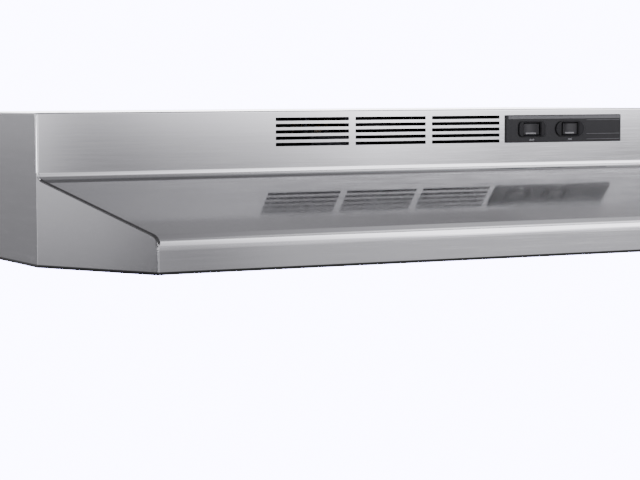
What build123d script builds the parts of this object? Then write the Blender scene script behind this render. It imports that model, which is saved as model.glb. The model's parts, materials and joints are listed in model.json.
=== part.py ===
"""Non-ducted range hood of the 30 inch class, hung under a wall cabinet.

Millimetres. +X is to the right, the front faces -Y, +Z is up. The origin is
the centre of the four mounting screws, on the top face of the hood.
"""
import os
from math import atan, cos, hypot, radians, sin, tan

from build123d import *

# ---- Outer form -------------------------------------------------------------
hood_width = 761.0  # 1 mm under 30 in, slips between the neighbours of a 30 in cabinet
box_depth = 304.8  # 12 in, the depth of the cabinet above
canopy_reach = 139.7  # 5 1/2 in that the canopy stands out in front
hood_height = 153.0  # 6 in class
face_height = 65.35  # upright face that carries the louvres and controls
brow_drop = 118.0  # top of the hood down to where slope and lip would meet
mitre_inset = 70.5  # how far each side has come in by the time it meets the lip
sheet = 0.8

corner_bend = 3.0  # all bend radii are on the outer skin
top_bend = 1.8
knee_bend = 8.5
brow_bend = 13.0
rim_bend = 2.6
side_bend = 4.0
rim_return = 10.0  # flange turned in along the lower rim
wrap = 5.0  # the top sheet folds this far down each side
fold_bottom = -59.2  # the upright corner folds stop just above the knee
seam_gap = 2.0  # dark seam between slope and mitred side
part_gap = 0.2  # hairline between butted sheets
lap = 14.0  # how far a side panel laps behind the folded edges

half_width = hood_width / 2
front_y = -box_depth / 2
back_y = box_depth / 2
lip_y = front_y - canopy_reach
rim_z = -hood_height
knee_z = -face_height
brow_z = -brow_drop
slope_angle = atan((brow_drop - face_height) / canopy_reach)
mitre_angle = atan(mitre_inset / canopy_reach)
lip_half = half_width - mitre_inset

# ---- Louvres, nameplate and switches ----------------------------------------
slot_length = 86.8
slot_height = 3.7
slot_pitch = 6.6
slot_rows = 5
slot_groups = 3
group_pitch = 94.5
louvre_x = 20.1
louvre_z = -22.1

plate_width = 155.3
plate_height = 30.8
plate_thick = 2.0
plate_x = 242.9
plate_z = -22.2
plate_pin_radius = 1.5
plate_pins = [(plate_x + x, plate_z + 11.5) for x in (-72, -20, 72)]
light_switch_x = 199.2
fan_switch_x = 250.0
switch_z = -22.7
light_bezel = (35.3, 17.3, 4.5)  # width, height and corner radius
fan_bezel = (38.6, 17.5, 8.6)
bezel_rise = 1.8
switch_half_width = 12.4
switch_half_height = 7.8
switch_depth = 28.0
cavity_half_width = 10.7
cavity_half_height = 6.2
cavity_depth = 13.0
pivot_depth = 6.0  # rocker pivot behind the nameplate's front
pivot_radius = 1.2
running_gap = 0.05
rocker_half_width = 9.5
rocker_half_height = 5.9
rocker_tilt = 8.0  # degrees either side of level

# ---- Air path ----------------------------------------------------------------
fan_x = louvre_x
chamber_half = 142.5  # half width of the outlet chamber
deck_z = -57.4  # upper face of the fan deck, the floor of the outlet chamber
opening_radius = 94.0
collar_depth = 10.0
blade_radius = 88.0
plenum_half = 126.0
plenum_front = -99.0
plenum_back = 103.0
plenum_bottom = -121.0
plenum_flange = 10.0

filter_width = 267.0
filter_depth = 222.0
filter_thick = 10.0
filter_back = 113.0
filter_top = -121.8
filter_axis_y = filter_back - 3.0

# ---- Motor -------------------------------------------------------------------
shaft_radius = 3.0
bridge_z = -8.0  # upper face of the motor bridge
bridge_thick = 1.2
bridge_half = 108.0
stack_top = -26.0
stack_bottom = -46.0
rotor_radius = 13.0
motor_screw_x = 26.0
hub_top = -66.0
hub_bottom = -86.0
blade_count = 5
blade_pitch = 28.0

# ---- Lamp --------------------------------------------------------------------
lamp_x = 255.0
lamp_half = 66.0
lamp_front = -90.0
lamp_back = 100.0
lamp_bottom = -106.0
lamp_flange = 8.0
bulb_z = -50.0
lens_half = 68.0
lens_front = -92.0
lens_back = 98.0
lens_top = -106.4
lens_bottom = -129.0
lens_wall = 2.0
lens_axis_y = 105.0
lens_axis_z = -111.5

# ---- Wiring ------------------------------------------------------------------
cover_left = fan_x + chamber_half + sheet
cover_right = 332.0
cover_back = -104.0
cover_bottom = -58.0
lead_radius = 1.5

# ---- Mounts ------------------------------------------------------------------
screw_span_x = 673.1  # 26 1/2 in
screw_span_y = 228.6  # 9 in
keyhole_radius = 5.0
keyhole_slot = 5.0
keyhole_run = 9.0
cable_radius = 11.1  # 7/8 in knockout
cable_x = 345.0
cable_top_y = 60.0
cable_back_z = -40.0

os.makedirs("parts", exist_ok=True)


def save(part, name):
    part.label = name
    export_step(part, f"parts/{name}.step")


def mirrored(part):
    return part.mirror(Plane.YZ)


def screw(centre, axis, head_radius, head_height, shank_radius, shank_length):
    """Pan-head screw: head from the centre back along -axis, shank forward."""
    seat = Plane(origin=centre, z_dir=axis)
    with BuildPart() as body:
        with BuildSketch(seat):
            Circle(shank_radius)
        extrude(amount=shank_length)
        with BuildSketch(seat):
            Circle(head_radius)
        extrude(amount=-head_height)
        fillet(body.faces().sort_by(Axis(centre, axis))[0].edges(), head_height * 0.45)
        with BuildSketch(seat.offset(-head_height)):
            Rectangle(head_radius * 1.2, 0.8)
            Rectangle(0.8, head_radius * 1.2)
        extrude(amount=head_height * 0.5, mode=Mode.SUBTRACT)
    return body.part


def screws(centres, axis, *sizes):
    """The same screw at several places, as one group of separate solids."""
    return Compound(children=[screw(centre, axis, *sizes) for centre in centres])


def sheet_strip(plane, points, radii, length, thick=sheet, side=Side.LEFT):
    """A bent strip: a path in a plane, thickened to one side and extruded."""
    with BuildPart() as strip:
        with BuildSketch(plane):
            with BuildLine():
                FilletPolyline(*points, radius=radii)
                offset(amount=thick, side=side)
            make_face()
        extrude(amount=length)
    return strip.part


# ---- Canopy shell: top, upright face, slope, lip and rim in one sheet ---------
def skin_block(inset):
    """Outer block of the upright box, with its bends, drawn in by an inset."""
    with BuildPart() as block:
        with BuildSketch(Plane.XY.offset(-inset)):
            with Locations((0, inset)):
                Rectangle(hood_width - 2 * inset, box_depth)
        extrude(amount=fold_bottom)
        fillet(block.edges().filter_by(Axis.Z).group_by(Axis.Y)[0], corner_bend - inset)
        top_edges = block.edges().group_by(Axis.Z)[-1].sort_by(Axis.Y)
        fillet(top_edges[0:5], top_bend - inset)
    return block.part


def lip_fold():
    """Rounded upright end of the lip, turned back a little along the mitre."""
    tail = 2.6
    fold_top = -110.0  # above the brow, which trims the fold to its own curve
    corner = Vector(lip_half, lip_y)
    back = corner + Vector(sin(mitre_angle), cos(mitre_angle)) * tail
    path = [(lip_half - 10, lip_y), corner, back]
    fold_start = rim_z + rim_bend
    with BuildPart() as fold:
        add(sheet_strip(Plane.XY.offset(fold_start), path, [2.0], fold_top - fold_start))
        with BuildSketch(Plane.YZ.offset(lip_half - 20)):
            with BuildLine():
                FilletPolyline(
                    (lip_y, rim_z),
                    (lip_y, brow_z),
                    (front_y, knee_z),
                    (front_y, rim_z),
                    radius=[0, brow_bend, 0, 0],
                    close=True,
                )
            make_face()
        extrude(amount=30, mode=Mode.INTERSECT)
    return fold.part


outer_skin = skin_block(0)
inner_skin = skin_block(sheet)
right_fold = lip_fold()

with BuildPart() as canopy_shell:
    with BuildSketch(Plane.YZ):
        with BuildLine():
            FilletPolyline(
                (front_y, fold_bottom + 2),
                (front_y, knee_z),
                (lip_y, brow_z),
                (lip_y, rim_z),
                (lip_y + rim_return, rim_z),
                radius=[knee_bend, brow_bend, rim_bend],
            )
            offset(amount=sheet, side=Side.LEFT)
        make_face()
    extrude(amount=half_width, both=True)
    edge_inset = (sheet + seam_gap) / cos(mitre_angle)
    with BuildSketch(Plane.XY.offset(rim_z)):
        with BuildLine():
            Polyline(
                (half_width - edge_inset, front_y + 5),
                (half_width - edge_inset, front_y),
                (lip_half - edge_inset, lip_y),
                (edge_inset - lip_half, lip_y),
                (edge_inset - half_width, front_y),
                (edge_inset - half_width, front_y + 5),
                close=True,
            )
        make_face()
    extrude(amount=hood_height, mode=Mode.INTERSECT)
    add(right_fold)
    add(mirrored(right_fold))
    add(outer_skin)
    add(inner_skin, mode=Mode.SUBTRACT)
    with BuildSketch(Plane.YZ.offset(-half_width)):
        with Locations(((front_y + wrap + back_y) / 2 + 5, fold_bottom / 2 - wrap / 2)):
            Rectangle(back_y - front_y - wrap + 10, -fold_bottom - wrap)
    extrude(amount=hood_width, mode=Mode.SUBTRACT)
    with BuildSketch(Plane.XY.offset(rim_z)):
        with Locations((lip_half - 4, lip_y + 8), (4 - lip_half, lip_y + 8)):
            Rectangle(20, 12)
    extrude(amount=sheet + 1, mode=Mode.SUBTRACT)
    with BuildSketch(Plane.XZ.offset(-front_y)):
        with Locations((louvre_x, louvre_z)):
            with GridLocations(group_pitch, slot_pitch, slot_groups, slot_rows):
                RectangleRounded(slot_length, slot_height, 0.7)
        with Locations((light_switch_x, switch_z), (fan_switch_x, switch_z)):
            Rectangle(2 * switch_half_width + 0.4, 2 * switch_half_height + 0.4)
        with Locations(*plate_pins):
            Circle(plate_pin_radius + 0.1)
    extrude(amount=-3, mode=Mode.SUBTRACT)
    with BuildSketch(Plane.XY):
        with GridLocations(screw_span_x, screw_span_y, 2, 2):
            Circle(keyhole_radius)
            with Locations((0, keyhole_run / 2)):
                Rectangle(keyhole_slot, keyhole_run)
            with Locations((0, keyhole_run)):
                Circle(keyhole_slot / 2)
        with Locations((cable_x, cable_top_y)):
            Circle(cable_radius)
    extrude(amount=-3, mode=Mode.SUBTRACT)
save(canopy_shell.part, "canopy_shell")

# ---- Side panels ---------------------------------------------------------------
side_tail = 3.1  # the mitred end stops this far short of the lip's corner
top_line = -wrap - part_gap
side_end = Vector(lip_half, lip_y) + Vector(sin(mitre_angle), cos(mitre_angle)) * side_tail
mitre_plane = Plane(
    origin=(half_width, front_y, rim_z),
    x_dir=(-sin(mitre_angle), -cos(mitre_angle), 0),
    z_dir=(0, 0, 1),
)
slope_plane = Plane(
    origin=(lip_half - 20, front_y, knee_z),
    x_dir=(0, -cos(slope_angle), -sin(slope_angle)),
    z_dir=(1, 0, 0),
)


def side_wall(start_y, depth, height):
    """Sheet that follows the side's plan, thickened inwards by a depth."""
    path = [(half_width, start_y), (half_width, front_y), side_end]
    return sheet_strip(Plane.XY.offset(rim_z), path, [side_bend], height, depth, Side.RIGHT)


slope_length = hypot(canopy_reach, brow_drop - face_height)
with BuildPart() as slope_flange:
    with BuildSketch(slope_plane):
        with Locations((slope_length / 2 - 2, sheet * 2 + 0.05)):
            Rectangle(slope_length - 14, sheet)
    extrude(amount=mitre_inset + 20)
    with BuildSketch(mitre_plane):
        with Locations((slope_length / 2, -6)):
            Rectangle(slope_length + 20, 11)
    extrude(amount=hood_height, mode=Mode.INTERSECT)

with BuildPart() as side_panel:
    add(side_wall(back_y, sheet, hood_height + top_line))
    with BuildSketch(Plane.YZ.offset(lip_half - 20)):
        with BuildLine():
            FilletPolyline(
                (back_y + 5, rim_z - 5),
                (back_y + 5, top_line),
                (front_y + wrap + part_gap, top_line),
                (front_y + wrap + part_gap, fold_bottom - part_gap),
                (front_y, fold_bottom - part_gap),
                (front_y, knee_z),
                (lip_y, brow_z),
                (lip_y, rim_z - 5),
                radius=[0, 0, 0, 0, 0, knee_bend, brow_bend, 0],
                close=True,
            )
        make_face()
    extrude(amount=mitre_inset + 30, mode=Mode.INTERSECT)
    add(slope_flange.part)
    add(side_wall(back_y - sheet - part_gap, rim_return, sheet))
    with BuildSketch(Plane.YZ.offset(half_width - sheet)):
        Polygon(
            (front_y + corner_bend + 0.6, fold_bottom),
            (front_y + corner_bend + 0.6, -corner_bend - 0.6),
            (back_y - lap, -corner_bend - 0.6),
            (back_y - lap, -lap),
            (front_y + lap, -lap),
            (front_y + lap, fold_bottom),
            align=None,
        )
    extrude(amount=-sheet)
save(side_panel.part, "right_side_panel")
save(mirrored(side_panel.part), "left_side_panel")

# ---- Back panel ----------------------------------------------------------------
back_height = hood_height - sheet
with BuildPart() as back_panel:
    with BuildSketch(Plane.XZ.offset(-back_y)):
        with Locations((0, rim_z + back_height / 2)):
            plate = Rectangle(hood_width - 2 * sheet, back_height)
        chamfer(plate.vertices().group_by(Axis.Y)[-1], corner_bend)
        with Locations((cable_x, cable_back_z)):
            Circle(cable_radius, mode=Mode.SUBTRACT)
    extrude(amount=sheet)
    with Locations((0, back_y - rim_return / 2, rim_z + sheet / 2)):
        Box(hood_width - 2 * rim_return - 2, rim_return, sheet)
    with Locations((0, back_y - rim_return, -sheet * 1.5)):
        Box(hood_width - 40, 2 * rim_return, sheet)
    with Locations((0, back_y - rim_return / 2, (rim_z - lap) / 2)):
        with GridLocations(hood_width - 3 * sheet, 1, 2, 1):
            Box(sheet, rim_return, hood_height - lap - 3)
save(back_panel.part, "back_panel")

with BuildPart() as top_knockout:
    with BuildSketch(Plane.XY.offset(-sheet)):
        with Locations((cable_x, cable_top_y)):
            Circle(cable_radius - 0.2)
            SlotOverall(2 * cable_radius, 3.0)
            Circle(cable_radius, mode=Mode.INTERSECT)
    extrude(amount=sheet)
save(top_knockout.part, "top_knockout")

# ---- Fan deck, and the plenum box welded under it ----------------------------------
deck_half = chamber_half + sheet
deck_front = front_y + sheet
deck_back = 142.0
deck_under = deck_z - sheet
plenum_mid = (plenum_front + plenum_back) / 2
plenum_depth = plenum_back - plenum_front
deck_screw_x = chamber_half - 7.0
bridge_foot_x = bridge_half + 7.0

with BuildPart() as fan_deck:
    with BuildSketch(Plane.XY.offset(deck_under)):
        with Locations((fan_x, (deck_front + deck_back) / 2)):
            Rectangle(2 * deck_half, deck_back - deck_front)
    extrude(amount=sheet)
    with Locations((fan_x, deck_front + sheet / 2, deck_under + 6)):
        Box(2 * deck_half, sheet, 12)
    with BuildSketch(Plane.XY.offset(deck_under - collar_depth)):
        with Locations((fan_x, 0)):
            Circle(opening_radius + sheet)
    extrude(amount=collar_depth)
    with BuildSketch(Plane.XY.offset(deck_z)):
        with Locations((fan_x, 0)):
            Circle(opening_radius)
            with GridLocations(2 * bridge_foot_x, 24, 2, 2):
                Circle(2.0)
        with Locations((fan_x, -35)):
            with GridLocations(2 * deck_screw_x, 85, 2, 3):
                Circle(2.0)
    extrude(amount=-sheet - collar_depth - 1, mode=Mode.SUBTRACT)
save(fan_deck.part, "fan_deck")

with BuildPart() as plenum_box:
    with BuildSketch(Plane.XY.offset(plenum_bottom)):
        with Locations((fan_x, plenum_mid)):
            Rectangle(2 * (plenum_half + sheet), plenum_depth + 2 * sheet)
            Rectangle(2 * plenum_half, plenum_depth, mode=Mode.SUBTRACT)
    extrude(amount=deck_under - plenum_bottom)
    with BuildSketch(Plane.XY.offset(plenum_bottom)):
        with Locations((fan_x, plenum_mid)):
            Rectangle(
                2 * (plenum_half + sheet + plenum_flange),
                plenum_depth + 2 * (sheet + plenum_flange),
            )
            Rectangle(2 * plenum_half, plenum_depth, mode=Mode.SUBTRACT)
    extrude(amount=sheet)
    with Locations((fan_x, plenum_mid, deck_under - sheet / 2)):
        with GridLocations(1, plenum_depth + 2 * sheet + plenum_flange, 1, 2):
            Box(2 * plenum_half, plenum_flange, sheet)
save(plenum_box.part, "plenum_box")

# ---- Baffles that turn the air to the louvres ---------------------------------------
baffle_back = 59.8
baffle_front = deck_front + corner_bend - part_gap
lead_y = 34.0
lead_z = -22.0
baffle_face = fan_x + chamber_half + sheet
baffle_path = [
    (baffle_face - 12, -sheet),
    (baffle_face, -sheet),
    (baffle_face, deck_z),
    (baffle_face - 12, deck_z),
]
with BuildPart() as air_baffle:
    add(sheet_strip(
        Plane.XZ.offset(-baffle_back), baffle_path, [1.2, 1.2],
        baffle_back - baffle_front, side=Side.RIGHT,
    ))
    with BuildSketch(Plane.XY.offset(deck_z)):
        with Locations((fan_x, -35)):
            with GridLocations(2 * deck_screw_x, 85, 2, 3):
                Circle(2.0)
    extrude(amount=2, mode=Mode.SUBTRACT)
save(air_baffle.part.mirror(Plane.YZ.offset(fan_x)), "left_air_baffle")

with BuildPart() as right_air_baffle:
    add(air_baffle.part)
    with BuildSketch(Plane.YZ.offset(baffle_face + 1)):
        with Locations((lead_y, lead_z)):
            Circle(4.0)
        with Locations((-130, -20), (-130, -42)):
            Circle(2.0)
    extrude(amount=-3, mode=Mode.SUBTRACT)
save(right_air_baffle.part, "right_air_baffle")

rear_path = [
    (fan_x - deck_half, baffle_back + part_gap),
    (fan_x - deck_half, 128),
    (fan_x + deck_half, 128),
    (fan_x + deck_half, baffle_back + part_gap),
]
rear_baffle = sheet_strip(
    Plane.XY.offset(deck_z), rear_path, [50, 50], -sheet - deck_z, side=Side.RIGHT
)
save(rear_baffle, "rear_air_baffle")

deck_screw_places = [
    (fan_x + side * deck_screw_x, y, deck_under) for side in (-1, 1) for y in (-120, -35, 50)
]
save(screws(deck_screw_places, (0, 0, 1), 3.6, 2.4, 1.9, 7.0), "deck_screws")

# ---- Motor bridge ---------------------------------------------------------------------
bridge_path = [
    (fan_x - bridge_half - 14, deck_z),
    (fan_x - bridge_half, deck_z),
    (fan_x - bridge_half + 8, bridge_z - bridge_thick),
    (fan_x + bridge_half - 8, bridge_z - bridge_thick),
    (fan_x + bridge_half, deck_z),
    (fan_x + bridge_half + 14, deck_z),
]
with BuildPart() as motor_bridge:
    add(sheet_strip(Plane.XZ.offset(-20), bridge_path, [3] * 4, 40, bridge_thick))
    with BuildSketch(Plane.XY):
        with Locations((fan_x, 0)):
            with GridLocations(2 * motor_screw_x, 1, 2, 1):
                Circle(2.1)
            with GridLocations(2 * bridge_foot_x, 24, 2, 2):
                Circle(2.0)
    extrude(amount=deck_z, mode=Mode.SUBTRACT)
save(motor_bridge.part, "motor_bridge")

bridge_screw_places = [
    (fan_x + x, y, deck_z + bridge_thick)
    for x in (-bridge_foot_x, bridge_foot_x)
    for y in (-12, 12)
]
save(screws(bridge_screw_places, (0, 0, -1), 3.6, 2.4, 1.9, 8.0), "bridge_screws")

# ---- Shaded-pole motor ------------------------------------------------------------------
with BuildPart() as motor_stator:
    with BuildSketch(Plane.XY.offset(stack_bottom)):
        with Locations((fan_x, 11)):
            RectangleRounded(62, 70, 5)
        with Locations((fan_x, 0)):
            Circle(rotor_radius + 0.4, mode=Mode.SUBTRACT)
        with Locations((fan_x, 25)):
            RectangleRounded(34, 12, 2, mode=Mode.SUBTRACT)
        with Locations((fan_x - motor_screw_x, 0), (fan_x + motor_screw_x, 0)):
            Circle(2.1, mode=Mode.SUBTRACT)
    extrude(amount=stack_top - stack_bottom)
save(motor_stator.part, "motor_stator")

stack_mid = (stack_top + stack_bottom) / 2
with BuildPart() as motor_coil:
    with BuildSketch(Plane.YZ.offset(fan_x - 15)):
        with Locations((38.5, stack_mid)):
            RectangleRounded(34, 39, 5)
            Rectangle(15.2, 20.2, mode=Mode.SUBTRACT)
    extrude(amount=30)
save(motor_coil.part, "motor_coil")


def bearing_bracket(foot_z, middle_z, side):
    """Strap across the motor, with a seat for the shaft's bearing."""
    path = [
        (fan_x - 31, foot_z), (fan_x - 19, foot_z), (fan_x - 14, middle_z),
        (fan_x + 14, middle_z), (fan_x + 19, foot_z), (fan_x + 31, foot_z),
    ]
    with BuildPart() as bracket:
        add(sheet_strip(Plane.XZ.offset(-7), path, [1.5] * 4, 14, 1.0, side))
        with BuildSketch(Plane.XY):
            with Locations((fan_x - motor_screw_x, 0), (fan_x + motor_screw_x, 0)):
                Circle(2.1)
            with Locations((fan_x, 0)):
                Circle(5.0)
        extrude(amount=-80, mode=Mode.SUBTRACT)
    return bracket.part


def bearing(seat_z, direction):
    """Flanged sintered bush, seated against a bracket's inner face."""
    with BuildPart() as bush:
        with BuildSketch(Plane((fan_x, 0, seat_z), z_dir=(0, 0, direction))):
            Circle(6.5)
            Circle(shaft_radius + running_gap, mode=Mode.SUBTRACT)
        extrude(amount=2)
        with BuildSketch(Plane((fan_x, 0, seat_z - 2 * direction), z_dir=(0, 0, direction))):
            Circle(5.0)
            Circle(shaft_radius + running_gap, mode=Mode.SUBTRACT)
        extrude(amount=7)
    return bush.part


save(bearing_bracket(stack_top, -14, Side.LEFT), "upper_bearing_bracket")
save(bearing_bracket(stack_bottom, -57, Side.RIGHT), "lower_bearing_bracket")
save(bearing(-14, -1), "upper_bearing")
save(bearing(-57, 1), "lower_bearing")

motor_screw_places = [(fan_x + x, 0, bridge_z) for x in (-motor_screw_x, motor_screw_x)]
save(screws(motor_screw_places, (0, 0, -1), 3.8, 2.6, 2.0, 44.0), "motor_screws")

with BuildPart() as motor_spacers:
    with BuildSketch(Plane.XY.offset(stack_top + 1)):
        with Locations((fan_x - motor_screw_x, 0), (fan_x + motor_screw_x, 0)):
            Circle(3.4)
            Circle(2.1, mode=Mode.SUBTRACT)
    extrude(amount=bridge_z - bridge_thick - stack_top - 1)
save(motor_spacers.part, "motor_spacers")

with BuildPart() as motor_nuts:
    with BuildSketch(Plane.XY.offset(stack_bottom - 1)):
        with Locations((fan_x - motor_screw_x, 0), (fan_x + motor_screw_x, 0)):
            RegularPolygon(3.5, 6, major_radius=False)
            Circle(2.0, mode=Mode.SUBTRACT)
    extrude(amount=-3.2)
save(motor_nuts.part, "motor_nuts")

# ---- Rotor: core, shaft, blade and its nut ------------------------------------------------
shaft_top = -11.5
shaft_bottom = -92.0
with BuildPart() as motor_shaft:
    with BuildSketch(Plane((fan_x, 0, shaft_bottom))):
        Circle(shaft_radius)
    extrude(amount=shaft_top - shaft_bottom)
    chamfer(motor_shaft.faces().sort_by(Axis.Z)[0].edges(), 0.6)
save(motor_shaft.part, "motor_shaft")

with BuildPart() as rotor_core:
    with BuildSketch(Plane((fan_x, 0, stack_bottom))):
        Circle(rotor_radius)
        Circle(shaft_radius, mode=Mode.SUBTRACT)
    extrude(amount=stack_top - stack_bottom)
save(rotor_core.part, "rotor_core")

hub_radius = 17.0
hub_mid = (hub_top + hub_bottom) / 2
with BuildPart() as vanes:
    for turn in range(blade_count):
        angle = radians(360 / blade_count * turn)
        pitch = radians(blade_pitch)
        root = Plane(
            origin=(fan_x, 0, hub_mid),
            x_dir=(cos(angle), sin(angle), 0),
            z_dir=(sin(angle) * sin(pitch), -cos(angle) * sin(pitch), cos(pitch)),
        )
        with BuildSketch(root):
            with BuildLine():
                Polyline((10, 9), (10, -9), (40, -19), (80, -26))
                ThreePointArc((80, -26), (90, -2), (82, 22))
                Polyline((82, 22), (46, 20), (10, 9))
            make_face()
        extrude(amount=0.8, both=True)
    with BuildSketch(Plane((fan_x, 0, -100))):
        Circle(blade_radius)
    extrude(amount=50, mode=Mode.INTERSECT)

with BuildPart() as fan_blade:
    with BuildSketch(Plane((fan_x, 0, hub_bottom))):
        Circle(hub_radius)
    extrude(amount=hub_top - hub_bottom)
    fillet(fan_blade.faces().sort_by(Axis.Z)[0].edges(), 2.5)
    add(vanes.part)
    with BuildSketch(Plane((fan_x, 0, hub_bottom))):
        Circle(shaft_radius)
    extrude(amount=hub_top - hub_bottom, mode=Mode.SUBTRACT)
save(fan_blade.part, "fan_blade")

with BuildPart() as blade_nut:
    with BuildSketch(Plane((fan_x, 0, hub_bottom))):
        RegularPolygon(5.5, 6, major_radius=False)
        Circle(shaft_radius, mode=Mode.SUBTRACT)
    extrude(amount=-4)
save(blade_nut.part, "blade_nut")

# ---- Grease and charcoal filter ------------------------------------------------------------
filter_y = filter_back - filter_depth / 2
filter_bottom = filter_top - filter_thick
frame_wall = 1.0
frame_face = 12.0
screen_thick = 0.5
groove_width = filter_width - 2 * frame_wall
groove_depth = filter_depth - 2 * frame_wall

with BuildPart() as filter_frame:
    with BuildSketch(Plane((fan_x, filter_y, filter_bottom))):
        RectangleRounded(filter_width, filter_depth, 3)
        window = (filter_width - 2 * frame_face, filter_depth - 2 * frame_face)
        Rectangle(*window, mode=Mode.SUBTRACT)
    extrude(amount=filter_thick)
    with BuildSketch(Plane((fan_x, filter_y, filter_bottom + frame_wall))):
        Rectangle(groove_width, groove_depth)
    extrude(amount=filter_thick - 2 * frame_wall, mode=Mode.SUBTRACT)
save(filter_frame.part, "filter_frame")

screen_levels = [filter_bottom + frame_wall, filter_top - frame_wall - screen_thick]
with BuildPart() as filter_screens:
    for level in screen_levels:
        with BuildSketch(Plane((fan_x, filter_y, level))):
            Rectangle(groove_width - 0.4, groove_depth - 0.4)
        extrude(amount=screen_thick)
save(filter_screens.part, "filter_screens")

with BuildPart() as filter_charcoal_pad:
    with BuildSketch(Plane((fan_x, filter_y, screen_levels[0] + screen_thick))):
        Rectangle(groove_width - 1, groove_depth - 1)
    extrude(amount=screen_levels[1] - screen_levels[0] - screen_thick)
save(filter_charcoal_pad.part, "filter_charcoal_pad")

tab_path = [
    (filter_back - filter_depth + 1, filter_bottom),
    (filter_back - filter_depth + 9, filter_bottom),
    (filter_back - filter_depth + 9, filter_bottom - 13),
]
pull_tab = sheet_strip(
    Plane.YZ.offset(fan_x - 13), tab_path, [1.5], 26, 1.0, Side.RIGHT
)
with BuildPart() as filter_pull_tab:
    add(pull_tab)
    fillet(filter_pull_tab.edges().filter_by(Axis.Y).group_by(Axis.Z)[0], 4)
save(filter_pull_tab.part, "filter_pull_tab")

rail_half = 100.0
rail_lip_z = filter_bottom - 0.1
flange_top = plenum_bottom + sheet
rail_inner = plenum_back + sheet + plenum_flange + 1.2
rail_path = [
    (plenum_back + 2, flange_top),
    (rail_inner, flange_top),
    (rail_inner, rail_lip_z),
    (filter_axis_y, rail_lip_z),
]
save(
    sheet_strip(Plane.YZ.offset(fan_x - rail_half), rail_path, [1, 1], 2 * rail_half),
    "filter_rail",
)

clip_face = plenum_front - sheet - plenum_flange - 1.2
clip_path = [
    (plenum_front - 2, flange_top),
    (clip_face, flange_top),
    (clip_face, filter_bottom),
    (clip_face - 4, filter_bottom - 6),
]
filter_clips = [
    sheet_strip(Plane.YZ.offset(fan_x + x), clip_path, [1, 3], 18, 0.5, Side.RIGHT)
    for x in (-89, 71)
]
save(Compound(children=filter_clips), "filter_clips")

# ---- Lamp compartment -------------------------------------------------------------------------
lamp_mid = (lamp_front + lamp_back) / 2
lamp_depth = lamp_back - lamp_front
pin_radius = 1.5
hinge_x = 52.0
lug_half = 6.0
ear_x = 7.6
ear_drop = 10.0

with BuildPart() as lamp_housing:
    with BuildSketch(Plane((lamp_x, lamp_mid, lamp_bottom))):
        Rectangle(2 * (lamp_half + sheet), lamp_depth + 2 * sheet)
    extrude(amount=-sheet - lamp_bottom)
    with BuildSketch(Plane((lamp_x, lamp_mid, lamp_bottom))):
        Rectangle(
            2 * (lamp_half + sheet + lamp_flange), lamp_depth + 2 * (sheet + lamp_flange)
        )
    extrude(amount=sheet)
    with BuildSketch(Plane((lamp_x, lamp_mid, lamp_bottom))):
        Rectangle(2 * lamp_half, lamp_depth)
    extrude(amount=-2 * sheet - lamp_bottom, mode=Mode.SUBTRACT)
    with BuildSketch(Plane.XZ.offset(-lamp_front - 5)):
        with Locations((lamp_x, bulb_z)):
            Circle(4.0)
            with GridLocations(34, 1, 2, 1):
                Circle(1.7)
    extrude(amount=10, mode=Mode.SUBTRACT)
    ear_places = [lamp_x + side * hinge_x + offset for side in (-1, 1) for offset in (-ear_x, ear_x)]
    with Locations([(x, lens_axis_y, lamp_bottom - ear_drop / 2) for x in ear_places]):
        Box(1.0, 8, ear_drop)
    with BuildSketch(Plane.YZ.offset(lamp_x - lamp_half)):
        with Locations((lens_axis_y, lens_axis_z)):
            Circle(pin_radius)
    extrude(amount=2 * lamp_half, mode=Mode.SUBTRACT)
save(lamp_housing.part, "lamp_housing")

with BuildPart() as lens_pins:
    for x in (lamp_x - hinge_x, lamp_x + hinge_x):
        with BuildSketch(Plane.YZ.offset(x - ear_x - 1.2)):
            with Locations((lens_axis_y, lens_axis_z)):
                Circle(pin_radius)
        extrude(amount=2 * ear_x + 2.4)
save(lens_pins.part, "lens_pins")

with BuildPart() as light_lens:
    with BuildSketch(Plane((lamp_x, (lens_front + lens_back) / 2, lens_bottom))):
        RectangleRounded(2 * lens_half, lens_back - lens_front, 10)
    extrude(amount=lens_top - lens_bottom)
    fillet(light_lens.faces().sort_by(Axis.Z)[0].edges(), 5)
    lens_rim = light_lens.faces().sort_by(Axis.Z)[-1]
    offset(amount=-lens_wall, openings=lens_rim)
    for x in (lamp_x - hinge_x, lamp_x + hinge_x):
        with BuildSketch(Plane.YZ.offset(x - lug_half)):
            with Locations((lens_axis_y, lens_axis_z)):
                Circle(4.4)
            with Locations(((lens_axis_y + lens_back - 1) / 2, lens_axis_z)):
                Rectangle(lens_axis_y - lens_back + 1, 8.8)
        extrude(amount=2 * lug_half)
    with BuildSketch(Plane.YZ.offset(lamp_x - lamp_half)):
        with Locations((lens_axis_y, lens_axis_z)):
            Circle(pin_radius + 2 * running_gap)
    extrude(amount=2 * lamp_half, mode=Mode.SUBTRACT)
save(light_lens.part, "light_lens")

latch_path = [
    (lamp_front - sheet - lamp_flange + 1, lamp_bottom),
    (lens_front - 0.7, lamp_bottom),
    (lens_front - 0.7, lens_bottom + 6),
    (lens_front - 3, lens_bottom + 1),
]
save(
    sheet_strip(Plane.YZ.offset(lamp_x - 10), latch_path, [0.8, 2], 20, 0.5, Side.RIGHT),
    "lens_latch",
)

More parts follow.
